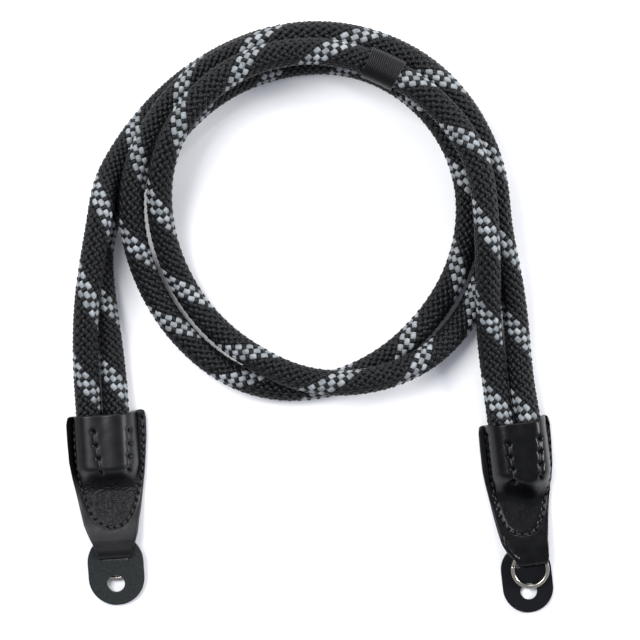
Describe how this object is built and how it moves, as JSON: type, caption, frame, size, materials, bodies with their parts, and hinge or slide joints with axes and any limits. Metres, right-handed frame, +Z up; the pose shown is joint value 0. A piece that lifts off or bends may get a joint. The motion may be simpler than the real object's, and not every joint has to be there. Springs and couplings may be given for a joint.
{
  "type": "camera strap",
  "caption": "Soft camera strap of twin braided ropes laid in a flat coil, with black leather tabs, split rings and leather protectors at its ends.",
  "frame": {"origin": "on the table, below the middle of the box round the two leather ends, their rings and their protectors", "axes": "+X to the right from the left leather end to the right one, +Y from the rings towards the coil, +Z up from the table"},
  "size_m": [0.1994, 0.2418, 0.0326],
  "materials": {
    "braid": "matt braided polyester, black with light grey flecks",
    "thread": "waxed black thread wound tight",
    "leather": "smooth black leather with a soft gloss",
    "suede": "thin black leather, rough on one face",
    "nickel": "dark polished nickel plating"
  },
  "bodies": {
    "root": {"rope_1": "braid", "rope_2": "braid", "whipping": "thread", "left_leather_end": "leather", "right_leather_end": "leather", "left_split_ring": "nickel", "right_split_ring": "nickel", "left_protector": "suede", "right_protector": "suede"}
  },
  "joints": []
}
